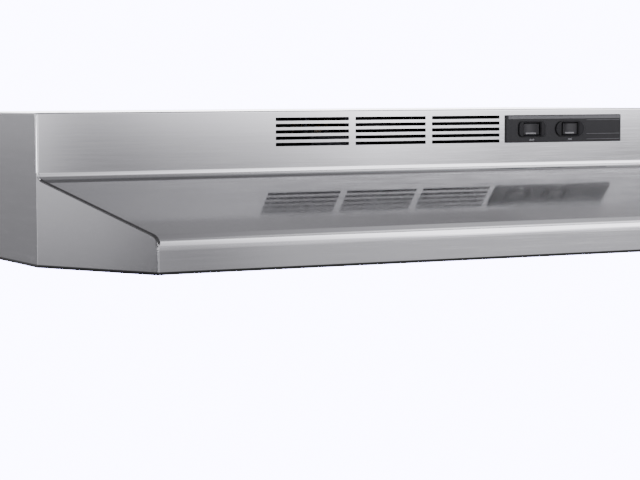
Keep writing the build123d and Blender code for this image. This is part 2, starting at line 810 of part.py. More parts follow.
socket_length = 36.0
socket_radius = 20.0
socket_recess = 2.6
shell_radius = 14.2
cap_radius = 12.9
with BuildPart() as lamp_socket:
    with BuildSketch(Plane.XZ.offset(-lamp_front - socket_length)):
        with Locations((lamp_x, bulb_z)):
            Circle(socket_radius)
    extrude(amount=socket_length)
    fillet(lamp_socket.faces().sort_by(Axis.Y)[-1].edges(), 2)
    with BuildSketch(Plane.XZ.offset(-lamp_front - socket_length)):
        with Locations((lamp_x, bulb_z)):
            Circle(shell_radius)
    extrude(amount=socket_length - 6, mode=Mode.SUBTRACT)
    with BuildSketch(Plane.XZ.offset(-lamp_front)):
        with Locations((lamp_x, bulb_z)):
            with GridLocations(34, 1, 2, 1):
                Circle(1.6)
    extrude(amount=-12, mode=Mode.SUBTRACT)
    with BuildSketch(Plane.XZ.offset(-lamp_front)):
        with Locations((lamp_x, bulb_z)):
            Circle(6.0)
    extrude(amount=-socket_recess, mode=Mode.SUBTRACT)
save(lamp_socket.part, "lamp_socket")

with BuildPart() as lamp_shell:
    with BuildSketch(Plane.XZ.offset(-lamp_front - socket_length + 2)):
        with Locations((lamp_x, bulb_z)):
            Circle(shell_radius)
    extrude(amount=socket_length - 8)
    with BuildSketch(Plane.XZ.offset(-lamp_front - socket_length + 2)):
        with Locations((lamp_x, bulb_z)):
            Circle(shell_radius - 0.5)
    extrude(amount=socket_length - 8.5, mode=Mode.SUBTRACT)
save(lamp_shell.part, "lamp_shell")

bulb_base = lamp_front + 7.0
cap_length = 26.0
glass_start = bulb_base + cap_length
with BuildPart() as bulb_cap:
    with BuildSketch(Plane.XZ.offset(-glass_start)):
        with Locations((lamp_x, bulb_z)):
            Circle(cap_radius)
    extrude(amount=cap_length - 4)
    with BuildSketch(Plane.XZ.offset(-bulb_base - 4)):
        with Locations((lamp_x, bulb_z)):
            Circle(cap_radius - 2)
    extrude(amount=4, taper=35)
save(bulb_cap.part, "bulb_cap")

bulb_axis = Axis((lamp_x, 0, bulb_z), (0, 1, 0))
bulb_radius = 30.0
bulb_centre = glass_start + 52.0
with BuildPart() as bulb_glass:
    with BuildSketch(Plane((lamp_x, 0, bulb_z), x_dir=(0, 1, 0), z_dir=(1, 0, 0))):
        with BuildLine():
            Polyline(
                (bulb_centre + bulb_radius, 0),
                (glass_start, 0),
                (glass_start, cap_radius),
                (glass_start + 8, cap_radius + 1),
            )
            ThreePointArc(
                (glass_start + 8, cap_radius + 1), (glass_start + 21, 16.9), (bulb_centre - 18, 24)
            )
            ThreePointArc(
                (bulb_centre - 18, 24), (bulb_centre, bulb_radius), (bulb_centre + bulb_radius, 0)
            )
        make_face()
    revolve(axis=bulb_axis)
save(bulb_glass.part, "bulb_glass")

socket_screw_places = [(lamp_x + x, lamp_front - sheet, bulb_z) for x in (-17, 17)]
save(screws(socket_screw_places, (0, 1, 0), 3.2, 2.0, 1.6, 12.0), "socket_screws")

# ---- Nameplate ------------------------------------------------------------------------------------
plate_front = front_y - plate_thick
with BuildPart() as nameplate:
    with BuildSketch(Plane.XZ.offset(-front_y)):
        with Locations((plate_x, plate_z)):
            RectangleRounded(plate_width, plate_height, 1.0)
    extrude(amount=plate_thick)
    chamfer(nameplate.faces().sort_by(Axis.Y)[0].edges(), 0.5)
    with BuildSketch(Plane.XZ.offset(-plate_front)):
        with Locations((light_switch_x, switch_z), (fan_switch_x, switch_z)):
            Rectangle(2 * switch_half_width + 0.4, 2 * switch_half_height + 0.4)
    extrude(amount=-plate_thick, mode=Mode.SUBTRACT)
    with BuildSketch(Plane.XZ.offset(-front_y)):
        with Locations(*plate_pins):
            Circle(plate_pin_radius)
    extrude(amount=-sheet - 1.2)
save(nameplate.part, "nameplate")

# ---- Rocker switches ---------------------------------------------------------------------------------
pivot_y = plate_front + pivot_depth


def switch_bezel(x, width, height, corner):
    """Rounded ring with a sloped inner edge that leads a finger to the rocker."""
    with BuildPart() as bezel:
        with BuildSketch(Plane.XZ.offset(-plate_front)):
            with Locations((x, switch_z)):
                RectangleRounded(width, height, corner)
        extrude(amount=bezel_rise)
        fillet(bezel.faces().sort_by(Axis.Y)[0].edges(), 1.0)
        with BuildSketch(Plane.XZ.offset(-plate_front)):
            with Locations((x, switch_z)):
                Rectangle(2 * cavity_half_width + 0.2, 2 * cavity_half_height + 0.2)
        extrude(amount=bezel_rise + 1, taper=-38, mode=Mode.SUBTRACT)
    return bezel.part


def switch_body(x):
    """Case behind the face, with a cavity and pivot bores for its rocker."""
    with BuildPart() as case:
        with BuildSketch(Plane.XZ.offset(-plate_front)):
            with Locations((x, switch_z)):
                Rectangle(2 * switch_half_width, 2 * switch_half_height)
        extrude(amount=-switch_depth)
        with BuildSketch(Plane.XZ.offset(-plate_front)):
            with Locations((x, switch_z)):
                Rectangle(2 * cavity_half_width, 2 * cavity_half_height)
        extrude(amount=-cavity_depth, mode=Mode.SUBTRACT)
        with BuildSketch(Plane((x, pivot_y, switch_z - cavity_half_height - 1.1))):
            Circle(pivot_radius + running_gap)
        extrude(amount=2 * cavity_half_height + 2.2, mode=Mode.SUBTRACT)
    return case.part


def rocker(x, tilt):
    """Paddle with a shallow valley across its face, on two short pivots."""
    seat = Plane((x, pivot_y, switch_z - rocker_half_height)).rotated((0, 0, tilt))
    with BuildPart() as paddle:
        with BuildSketch(seat):
            with BuildLine():
                Polyline(
                    (-rocker_half_width, -6.8),
                    (-rocker_half_width, 3.5),
                    (rocker_half_width, 3.5),
                    (rocker_half_width, -6.8),
                )
                ThreePointArc((rocker_half_width, -6.8), (0, -4.8), (-rocker_half_width, -6.8))
            make_face()
        extrude(amount=2 * rocker_half_height)
        fillet(paddle.edges().filter_by(Axis.Z), 0.6)
        with BuildSketch(seat.offset(-0.9)):
            Circle(pivot_radius)
        extrude(amount=2 * rocker_half_height + 1.8)
    return paddle.part


save(switch_bezel(light_switch_x, *light_bezel), "light_switch_bezel")
save(switch_bezel(fan_switch_x, *fan_bezel), "fan_switch_bezel")
save(switch_body(light_switch_x), "light_switch_body")
save(switch_body(fan_switch_x), "fan_switch_body")
save(rocker(light_switch_x, -rocker_tilt), "light_rocker")
save(rocker(fan_switch_x, 0), "fan_rocker")

terminal_places = [(light_switch_x + x, switch_z) for x in (-5, 5)]
terminal_places += [(fan_switch_x + x, switch_z) for x in (-8, 0, 8)]
terminal_start = plate_front + switch_depth
terminal_length = 8.0
with BuildPart() as switch_terminals:
    with BuildSketch(Plane.XZ.offset(-terminal_start)):
        with Locations(*terminal_places):
            Rectangle(0.8, 4.8)
    extrude(amount=-terminal_length)
save(switch_terminals.part, "switch_terminals")

# ---- Wiring cover, grommets and leads -------------------------------------------------------------------
cover_front = front_y + sheet + part_gap
cover_top = -corner_bend - part_gap
lead_exit = (175.5, -18.0)
with BuildPart() as wiring_cover:
    cover_width = cover_right - cover_left
    cover_mid_x = (cover_left + cover_right) / 2
    cover_mid_y = (cover_front + cover_back + sheet) / 2
    cover_depth = cover_back + sheet - cover_front
    with BuildSketch(Plane((cover_mid_x, cover_mid_y, cover_bottom - sheet))):
        Rectangle(cover_width, cover_depth)
    extrude(amount=cover_top - cover_bottom + sheet)
    with BuildSketch(Plane((cover_mid_x, cover_mid_y, cover_bottom))):
        Rectangle(cover_width - 2 * sheet, cover_depth - 2 * sheet)
    extrude(amount=cover_top - cover_bottom, mode=Mode.SUBTRACT)
    with BuildSketch(Plane.XZ.offset(-cover_front)):
        with Locations((cover_mid_x, cover_top - 24)):
            Rectangle(cover_width - 2 * sheet, 48)
    extrude(amount=-sheet, mode=Mode.SUBTRACT)
    with BuildSketch(Plane.XZ.offset(-cover_back + 2)):
        with Locations(lead_exit, (lamp_x, bulb_z)):
            Circle(4.0)
    extrude(amount=-4, mode=Mode.SUBTRACT)
    with BuildSketch(Plane.YZ.offset(cover_left - 1)):
        with Locations((-130, -20), (-130, -42)):
            Circle(2.0)
    extrude(amount=3, mode=Mode.SUBTRACT)
    with BuildSketch(Plane((305, -120, cover_bottom))):
        Circle(2.0)
    extrude(amount=-2, mode=Mode.SUBTRACT)
save(wiring_cover.part, "wiring_cover")

cover_screw_places = [(cover_left + sheet, -130, z) for z in (-20, -42)]
save(screws(cover_screw_places, (-1, 0, 0), 3.6, 2.4, 1.9, 6.0), "cover_screws")
save(screw((305, -120, cover_bottom), (0, 0, -1), 3.8, 2.4, 1.9, 6.0), "ground_screw")


def grommet(centre, axis):
    """Rubber ring that grips the edge of a hole in one sheet."""
    with BuildPart() as ring:
        with BuildSketch(Plane(centre, z_dir=axis)):
            Circle(5.5)
        extrude(amount=2.0, both=True)
        fillet(ring.edges(), 0.8)
        with BuildSketch(Plane(centre, z_dir=axis)):
            Circle(6.0)
            Circle(4.0, mode=Mode.SUBTRACT)
        extrude(amount=sheet / 2, both=True, mode=Mode.SUBTRACT)
        with BuildSketch(Plane(centre, z_dir=axis)):
            Circle(lead_radius + 0.1)
        extrude(amount=3, both=True, mode=Mode.SUBTRACT)
    return ring.part


grommets = [
    grommet((lead_exit[0], cover_back + sheet / 2, lead_exit[1]), (0, 1, 0)),
    grommet((lamp_x, cover_back + sheet / 2, bulb_z), (0, 1, 0)),
    grommet((lamp_x, lamp_front - sheet / 2, bulb_z), (0, 1, 0)),
    grommet((baffle_face - sheet / 2, lead_y, lead_z), (1, 0, 0)),
]
save(Compound(children=grommets), "wire_grommets")


def lead(points, name):
    """Insulated lead: straight runs joined by arcs as large as the runs allow."""
    knots = [Vector(point) for point in points]
    radii = []
    for before, here, after in zip(knots, knots[1:], knots[2:]):
        shorter = min((here - before).length, (after - here).length)
        half_turn = radians((here - before).get_angle(after - here)) / 2
        radii.append(0.4 * shorter / tan(half_turn))
    with BuildPart() as cable:
        with BuildLine() as route:
            FilletPolyline(*points, radius=radii)
        with BuildSketch(Plane(route.line @ 0, z_dir=route.line % 0)):
            Circle(lead_radius)
        sweep()
    save(cable.part, name)


terminal_end = terminal_start + terminal_length
exit_x, exit_z = lead_exit
wall_y = cover_back + sheet / 2
lead((
    (fan_switch_x - 8, terminal_end, switch_z),
    (fan_switch_x - 8, terminal_end + 8, switch_z),
    (fan_switch_x - 18, terminal_end + 10, switch_z + 5),
    (fan_switch_x - 42, terminal_end + 8, switch_z + 8),
    (exit_x + 12, wall_y - 19, exit_z + 1),
    (exit_x, wall_y - 15, exit_z),
    (exit_x, wall_y + 15, exit_z),
    (exit_x + 1, wall_y + 60, exit_z - 3),
    (exit_x, lead_y - 24, lead_z - 1),
    (exit_x, lead_y, lead_z),
    (exit_x - 25, lead_y, lead_z),
    (fan_x + 100, lead_y + 2, lead_z + 2),
    (fan_x + 60, lead_y + 4, lead_z + 1),
    (fan_x + 15, lead_y + 4, lead_z + 1),
), "motor_lead")
lead((
    (light_switch_x + 5, terminal_end, switch_z),
    (light_switch_x + 5, terminal_end + 7, switch_z),
    (light_switch_x + 12, terminal_end + 7, switch_z - 14),
    (light_switch_x + 36, terminal_end + 6, bulb_z + 2),
    (lamp_x, terminal_end + 6, bulb_z),
    (lamp_x, lamp_front + socket_recess, bulb_z),
), "lamp_lead")
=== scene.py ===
"""Looks of an under cabinet range hood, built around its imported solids."""

import json
from math import atan2, cos, pi, radians, sin, tan

import bmesh
import bpy
from mathutils import Matrix, Vector, noise


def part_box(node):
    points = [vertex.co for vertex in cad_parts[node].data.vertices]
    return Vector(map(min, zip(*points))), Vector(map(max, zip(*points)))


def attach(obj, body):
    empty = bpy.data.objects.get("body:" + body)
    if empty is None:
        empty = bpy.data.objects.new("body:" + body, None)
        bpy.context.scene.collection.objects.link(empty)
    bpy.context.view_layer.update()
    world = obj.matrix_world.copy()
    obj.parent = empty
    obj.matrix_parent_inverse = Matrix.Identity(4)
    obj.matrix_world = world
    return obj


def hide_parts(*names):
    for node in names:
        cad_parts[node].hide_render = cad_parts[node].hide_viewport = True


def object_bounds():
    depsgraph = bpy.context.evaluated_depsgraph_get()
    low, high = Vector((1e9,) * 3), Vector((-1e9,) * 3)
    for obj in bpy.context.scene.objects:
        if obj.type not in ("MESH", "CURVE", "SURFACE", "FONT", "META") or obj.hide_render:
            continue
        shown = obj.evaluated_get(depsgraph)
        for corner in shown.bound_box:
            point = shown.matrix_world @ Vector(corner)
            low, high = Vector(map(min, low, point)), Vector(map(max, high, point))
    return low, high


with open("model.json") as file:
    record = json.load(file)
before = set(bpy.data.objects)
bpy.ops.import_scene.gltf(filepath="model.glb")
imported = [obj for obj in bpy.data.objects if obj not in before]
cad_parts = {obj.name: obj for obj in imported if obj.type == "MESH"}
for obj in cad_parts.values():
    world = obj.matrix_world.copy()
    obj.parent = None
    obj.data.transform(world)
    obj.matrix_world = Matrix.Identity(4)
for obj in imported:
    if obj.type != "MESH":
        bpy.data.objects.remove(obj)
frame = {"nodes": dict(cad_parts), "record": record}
cad_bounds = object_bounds()
nodes = frame["nodes"]
MM = 0.001

# Sizes of the canopy, in millimetres: the knee is its upper bend and the brow its lower one.
half_width, lip_y = round(cad_bounds[1][0] / MM, 2), round(cad_bounds[0][1] / MM, 2)
front_y, lip_half, knee_z, brow_z = -152.4, 310.0, -65.35, -118.0

# ---- Shader tools -----------------------------------------------------------


class Value:
    """An output of a node. Arithmetic on it adds Math nodes to the tree that it is part of."""

    def __init__(self, maker, socket):
        self.maker = maker
        self.socket = socket

    def maths(self, operation, first, second):
        return self.maker.node("ShaderNodeMath", {"operation": operation}, {0: first, 1: second})

    def __add__(self, other):
        return self.maths("ADD", self, other)

    def __radd__(self, other):
        return self.maths("ADD", other, self)

    def __sub__(self, other):
        return self.maths("SUBTRACT", self, other)

    def __rsub__(self, other):
        return self.maths("SUBTRACT", other, self)

    def __mul__(self, other):
        return self.maths("MULTIPLY", self, other)

    def __rmul__(self, other):
        return self.maths("MULTIPLY", other, self)


class Tree:
    """Any node tree under construction."""

    def node(self, kind, settings=None, inputs=None, output=0):
        """Adds a node: its settings first, then the values or links of its sockets."""
        made = self.tree.nodes.new(kind if "Node" in kind else self.family + kind)
        for key, value in (settings or {}).items():
            setattr(made, key, value)
        for key, value in (inputs or {}).items():
            if isinstance(value, Value):
                self.tree.links.new(value.socket, made.inputs[key])
            else:
                made.inputs[key].default_value = value
        return Value(self, made.outputs[output])


class Look(Tree):
    """A material, or the world, under construction."""

    family = "ShaderNode"

    def __init__(self, owner):
        owner.use_nodes = True
        self.owner = owner
        self.tree = owner.node_tree
        self.tree.nodes.clear()

    def where(self, scale=(1, 1, 1)):
        """Object coordinates, in metres before they are scaled."""
        place = self.node("TexCoord", output="Object")
        return self.node("Mapping", None, {"Vector": place, "Scale": scale})

    def axis(self, index, place=None):
        """One coordinate of a place, in metres by default."""
        return self.node("SeparateXYZ", None, {0: place or self.where()}, index)

    def noise(self, scale, detail=2.0, rough=0.5, warp=0.0):
        """Cloudy noise from 0 to 1; scale is in features to the metre along X, Y and Z."""
        inputs = {"Vector": self.where(scale), "Scale": 1.0, "Detail": detail,
                  "Roughness": rough, "Distortion": warp}
        return self.node("TexNoise", None, inputs)

    def step(self, value, low, high, start=0.0, end=1.0, way="SMOOTHSTEP"):
        """Goes from start to end as the value goes from low to high."""
        inputs = {0: value, 1: low, 2: high, 3: start, 4: end}
        return self.node("MapRange", {"interpolation_type": way}, inputs)

    def within(self, value, rise, fall):
        """Goes up over one soft edge and down over another, each from where it is 0 to where 1."""
        return self.step(value, *rise) * self.step(value, *fall)

    def blend(self, factor, first, second):
        """A colour between two colours."""
        inputs = {0: factor, 6: paint(first), 7: paint(second)}
        return self.node("Mix", {"data_type": "RGBA"}, inputs, 2)

    def relief(self, height, depth):
        """Bump whose depth is in millimetres."""
        return self.node("Bump", None, {"Height": height, "Distance": depth * MM, "Strength": 1.0})

    def surface(self, colour, roughness, **more):
        """Ends a material in one Principled shader."""
        inputs = {"Base Color": paint(colour), "Roughness": roughness}
        inputs.update({key.replace("_", " "): value for key, value in more.items()})
        shader = self.node("BsdfPrincipled", None, inputs)
        self.end("OutputMaterial", shader)
        return self.owner

    def end(self, kind, shader):
        """Adds the output node that a shader goes to."""
        out = self.tree.nodes.new("ShaderNode" + kind)
        self.tree.links.new(shader.socket, out.inputs["Surface"])


def paint(colour):
    """Four channels from three, and a linked colour as it is."""
    return colour if isinstance(colour, Value) else (*colour, 1.0)


def material(name):
    return Look(bpy.data.materials.new(name))


def grey(level):
    """A grey that is a trace cool, as stainless steel is."""
    return (level, level * 1.002, level * 1.012)


# ---- Metals -----------------------------------------------------------------
steel = 0.62  # how light bare stainless is

# Marks on the stainless sheet: dust, haze, and painted shade and highlights. Every pair of places
# is a soft edge, in metres, from where the mark has not begun to where it is full.
hem_shade_edge = (-0.1493, -0.1506)  # along Z: painted shade along the turned edge at the bottom
calm_edge = (-0.20, 0.16)  # along X: the brushing shows more beyond it
slope_film = (-0.159, -0.163), (-0.288, -0.282)  # along Y: a thin film of dust
film_dull_edge = (-0.18, -0.25)  # along Y: the film is duller towards the lip
fold_shade = (-0.1550, -0.1566), (-0.1635, -0.1600)  # along Y: painted shade in the fold below the knee
fold_shade_edge = (-0.37, -0.04)  # along X: the painted shade is darker beyond it
lip_highlight = (-0.1302, -0.1278), (-0.1256, -0.1264)  # along Z: a painted highlight along the top of the lip
haze_edge = (0.070, 0.118)  # along X: the film is milky beyond it
haze_dull_edge = (0.106, 0.125)  # along X: and duller beyond this
haze_dark_edge = (-0.178, -0.190)  # along Y: and darker beyond this


def canopy_marks(look, colour, cloud, film, haze):
    """The canopy's colour with the dust, the painted shade in the fold, the painted highlight on
    the lip and the haze on it.
    """
    across, front, height = (look.axis(index) for index in range(3))
    # Dark grey for the dust and the haze, and for the painted shade in the fold.
    dust_and_shade = grey(steel * 0.15)
    colour = look.blend(film * (cloud * 0.16 + 0.10), colour, dust_and_shade)
    # Painted shade in the fold below the knee.
    fold = look.within(front, *fold_shade) * look.step(across, *fold_shade_edge, 0.28, 0.94)
    colour = look.blend(fold, colour, dust_and_shade)
    # A painted highlight along the top of the lip.
    colour = look.blend(look.within(height, *lip_highlight) * 0.9, colour, grey(steel * 1.55))
    return look.blend(haze * look.step(front, *haze_dark_edge, 0.0, 0.165), colour, dust_and_shade)


def brushed_steel(name, along, canopy=False):
    """Stainless sheet with its grain along one axis: 0 for X, 1 for Y."""
    look = material(name)
    fine, wide = [2600.0] * 3, [330.0] * 3
    fine[along], wide[along] = 16.0, 2.6
    hair = look.noise(fine, rough=0.6)
    band = look.noise(wide, detail=3.0, rough=0.6)
    cloud = look.noise((6, 6, 6))
    grain = hair * 0.45 + band * 0.55
    colour = look.blend(grain, grey(steel * 0.95), grey(steel * 1.04))
    # Painted shade along the turned edge at the bottom.
    hem_shade = look.step(look.axis(2), *hem_shade_edge) * (0.995 if canopy else 0.90)
    colour = look.blend(hem_shade, colour, grey(steel * 0.01))
    calm = look.step(look.axis(0), *calm_edge, 0.3, 1.0) if canopy else 1.0
    dull = look.step(hair, 0.42, 0.68, -0.06, 0.06) * calm + 0.13
    dull = dull + (band - 0.5) * 0.03 + (cloud - 0.5) * 0.04
    metal = 1.0
    if canopy:
        film = look.within(look.axis(1), *slope_film)
        haze = film * look.step(look.axis(0), *haze_edge)
        colour = canopy_marks(look, colour, cloud, film, haze)
        film_dull = look.step(look.axis(1), *film_dull_edge, 0.014, 0.044)
        film_dull = film_dull + look.step(look.axis(0), *haze_dull_edge, 0.0, 0.024)
        dull = dull * (1.0 - film * 0.55) + film * film_dull
        grain = grain * (1.0 - film * 0.70)
        metal = 1.0 - haze * 0.156
    return look.surface(colour, dull, Metallic=metal, Normal=look.relief(grain * calm, 0.002))


def galvanised():
    """Zinc coated sheet with its flowery spangle."""
    look = material("galvanised_sheet")
    zinc = 0.56
    flake = look.node("TexVoronoi", {"feature": "F1"},
                      {"Vector": look.where(), "Scale": 125.0, "Randomness": 1.0}, "Color")
    tone = look.node("SeparateColor", None, {0: flake})
    film = look.noise((30, 30, 30), detail=4.0, rough=0.6)
    colour = look.blend(tone, (zinc * 0.91, zinc * 0.93, zinc * 0.95),
                        (zinc * 1.06, zinc * 1.08, zinc * 1.10))
    dull = tone * 0.12 + film * 0.12 + 0.30
    return look.surface(colour, dull, Metallic=0.92, Normal=look.relief(film, 0.05))


def plain_metal(name, colour, roughness):
    """Bare or plated metal with a fine uneven finish."""
    look = material(name)
    spread = 0.10
    fine = look.noise((420, 420, 420), detail=3.0, rough=0.6)
    wear = look.noise((55, 55, 55), detail=3.0, rough=0.55)
    dark = [channel * 0.82 for channel in colour]
    light = [min(1.0, channel * 1.12) for channel in colour]
    shade = look.blend(fine * 0.5 + wear * 0.5, dark, light)
    dull = (fine - 0.5) * spread + (wear - 0.5) * spread + roughness
    return look.surface(shade, dull, Metallic=1.0, Normal=look.relief(fine, 0.012))


def laminated_steel():
    """Edges of stacked plates, lacquered."""
    look = material("lamination_steel")
    plate = 0.5 * MM
    plates = look.node("Math", {"operation": "SINE"}, {0: look.axis(2) * (2 * pi / plate)})
    mottle = look.noise((300, 300, 300))
    colour = look.blend(plates * 0.25 + mottle * 0.5, (0.10, 0.10, 0.11), (0.30, 0.30, 0.32))
    return look.surface(colour, mottle * 0.2 + 0.40, Metallic=0.8,
                        Normal=look.relief(plates, 0.06))


# ---- Coatings, plastics and the rest ------------------------------------------


def enamel():
    """White stove enamel with a slight orange peel."""
    look = material("white_enamel")
    peel = look.noise((260, 260, 260), detail=1.5)
    soil = look.noise((9, 9, 9), detail=3.0)
    colour = look.blend(soil, (0.80, 0.80, 0.78), (0.88, 0.88, 0.86))
    return look.surface(colour, soil * 0.08 + 0.22, Normal=look.relief(peel, 0.03),
                        Coat_Weight=0.25, Coat_Roughness=0.12)


def moulded(name, colour, roughness, depth=0.02, size=900.0, shine=0.5):
    """Moulded plastic with a fine spark-eroded grain; paint and rubber too."""
    look = material(name)
    grain = look.noise((size, size, size))
    flow = look.noise((18, 18, 18))
    dark = [channel * 0.86 for channel in colour]
    light = [min(1.0, channel * 1.14) for channel in colour]
    shade = look.blend(flow, dark, light)
    return look.surface(shade, grain * 0.10 + roughness, Normal=look.relief(grain, depth),
                        Specular_IOR_Level=shine)


def coil_tape():
    """Varnished cloth tape wound round the coil, with its laps to the metre."""
    look = material("coil_tape")
    laps = 180.0
    wrap = look.node("Math", {"operation": "FRACT"}, {0: look.axis(0) * laps})
    fibre = look.noise((900, 120, 900))
    colour = look.blend(wrap, (0.20, 0.10, 0.03), (0.46, 0.27, 0.09))
    return look.surface(colour, fibre * 0.15 + 0.22, Normal=look.relief(wrap, 0.12))


def fleece():
    """Black fibres with grains of charcoal between them."""
    look = material("charcoal_fleece")
    fibre = look.noise((700, 700, 700), detail=5.0, rough=0.75, warp=1.5)
    grains = look.node("TexVoronoi", None, {"Vector": look.where(), "Scale": 520.0}, "Distance")
    colour = look.blend(fibre, (0.012, 0.012, 0.013), (0.085, 0.085, 0.088))
    return look.surface(colour, 0.95 - grains * 0.25, Normal=look.relief(fibre + grains, 0.35))


def lens_polymer():
    """Clear moulded polymer, a little milky."""
    look = material("lens_polymer")
    grain = look.noise((500, 500, 500))
    colour = look.blend(grain, (0.80, 0.82, 0.80), (0.92, 0.93, 0.91))
    return look.surface(colour, grain * 0.10 + 0.16, Transmission_Weight=0.45, IOR=1.49,
                        Normal=look.relief(grain, 0.01))


def frosted_glass():
    """Glass frosted on its inside."""
    look = material("bulb_frost")
    frost = look.noise((650, 650, 650))
    colour = look.blend(frost, (0.90, 0.89, 0.85), (0.98, 0.97, 0.94))
    return look.surface(colour, frost * 0.12 + 0.28, Transmission_Weight=0.35, IOR=1.45,
                        Normal=look.relief(frost, 0.008))


# The finish of every material slot of the record, and those that scene pieces use besides.
finish = {
    "stainless": brushed_steel("stainless_across", 0, canopy=True),
    "stainless_side": brushed_steel("stainless_deep", 1),
    "galvanised": galvanised(),
    "white_enamel": enamel(),
    "zinc_screw": plain_metal("zinc_plate", (0.60, 0.61, 0.62), 0.34),
    "spring_steel": plain_metal("spring_steel", (0.36, 0.37, 0.39), 0.30),
    "lamination_steel": laminated_steel(),
    "aluminium": plain_metal("rolled_aluminium", (0.74, 0.75, 0.76), 0.33),
    "brass": plain_metal("brass", (0.76, 0.57, 0.26), 0.30),
    "oiled_bronze": plain_metal("oiled_bronze", (0.055, 0.038, 0.022), 0.50),
    "blued_steel": plain_metal("blued_steel", (0.050, 0.050, 0.060), 0.42),
    "coil_tape": coil_tape(),
    "charcoal": fleece(),
    "plate_plastic": moulded("plate_plastic", (0.007, 0.007, 0.008), 0.36, shine=0.22),
    "rocker_plastic": moulded("rocker_plastic", (0.003, 0.003, 0.0035), 0.30, shine=0.10),
    "rocker_face": moulded("rocker_face", (0.008, 0.008, 0.009), 0.30, shine=0.32),
    "bezel_plastic": moulded("bezel_plastic", (0.004, 0.004, 0.005), 0.32, shine=0.16),
    # A painted highlight: the lighter grey of the band along the nameplate's top.
    "plate_highlight_band": moulded("plate_highlight_band", (0.060, 0.060, 0.064), 0.42),
    # A painted highlight, for the light bar low on each rocker.
    "highlight_bar_paint": moulded("highlight_bar_paint", (0.15, 0.15, 0.155), 0.50, size=1500.0),
    "rule_paint": moulded("rule_paint", (0.050, 0.050, 0.053), 0.50, size=1500.0),
    "legend_paint": moulded("legend_paint", (0.32, 0.32, 0.33), 0.50, size=1500.0),
    "weld_mark": plain_metal("weld_mark", (0.34, 0.35, 0.37), 0.48),
    # Black enamel on the inner air path, which also stands in for the shade seen through the louvre
    # slots: partly painted shade.
    "black_enamel": moulded("black_enamel", (0.010, 0.010, 0.011), 0.55, size=300.0),
    "phenolic": moulded("phenolic", (0.040, 0.030, 0.026), 0.30, size=350.0),
    "lens_polymer": lens_polymer(),
    "bulb_glass": frosted_glass(),
    "rubber": moulded("rubber", (0.020, 0.020, 0.020), 0.68, depth=0.05, size=500.0),
    "lead_sheath": moulded("lead_sheath", (0.74, 0.74, 0.72), 0.42, size=300.0),
}
# Nodes whose finish is not that of their slot.
other_finish = {
    "left_side_panel": "stainless_side", "right_side_panel": "stainless_side",
    "light_switch_bezel": "bezel_plastic", "fan_switch_bezel": "bezel_plastic",
    "light_rocker": "rocker_face", "fan_rocker": "rocker_face",
    "upper_bearing": "oiled_bronze", "lower_bearing": "oiled_bronze",
    "motor_shaft": "blued_steel", "motor_spacers": "blued_steel",
}
for name, obj in nodes.items():
    slot = next(row["material_slot"] for row in frame["record"]["subparts"] if row["node"] == name)
    for holder in obj.material_slots:
        holder.material = finish[other_finish.get(name, slot)]

# ---- Camera -------------------------------------------------------------------
yaw, pitch, roll = radians(27.4), radians(4.11), radians(-0.25)
ahead = Vector((sin(yaw) * cos(pitch), cos(yaw) * cos(pitch), -sin(pitch)))
level_right = Vector((cos(yaw), -sin(yaw), 0))
level_up = level_right.cross(ahead)
right = cos(roll) * level_right + sin(roll) * level_up
up = cos(roll) * level_up - sin(roll) * level_right
camera = bpy.data.objects.new("camera", bpy.data.cameras.new("camera"))
camera.data.lens = 112.1
camera.data.sensor_width = 36
camera.data.clip_end = 50
standpoint = Matrix.Translation((-1.0350, -2.0211, 0.0143))
camera.matrix_world = standpoint @ Matrix((right, up, -ahead)).transposed().to_4x4()
bpy.context.scene.collection.objects.link(camera)
bpy.context.scene.camera = camera

# ---- Studio -------------------------------------------------------------------
daylight = (1.0, 0.985, 1.045, 1.0)


def card(name, low, high, glow):
    """A glowing card, flat across one axis, that the camera itself doesn't see."""
    flat = min(range(3), key=lambda axis: high[axis] - low[axis])
    first, second = [axis for axis in range(3) if axis != flat]
    corners = []
    for end, top in ((0, 0), (1, 0), (1, 1), (0, 1)):
        corner = list(low)
        corner[first] = (low, high)[end][first]
        corner[second] = (low, high)[top][second]
        corners.append(corner)
    mesh = bpy.data.meshes.new(name)
    mesh.from_pydata(corners, [], [(0, 1, 2, 3)])
    look = material(name)
    look.end("OutputMaterial",
             look.node("Emission", None, {"Color": daylight, "Strength": glow(look)}))
    mesh.materials.append(look.owner)
    obj = bpy.data.objects.new(name, mesh)
    obj.visible_camera = False
    bpy.context.scene.collection.objects.link(obj)


def levels(look, index, *stops):
    """Brightness along one axis, straight between (metres, level) pairs."""
    place = look.axis(index)
    total = stops[0][1]
    for (start, before), (end, after) in zip(stops, stops[1:]):
        total = look.step(place, start, end, 0.0, after - before, "LINEAR") + total
    return total


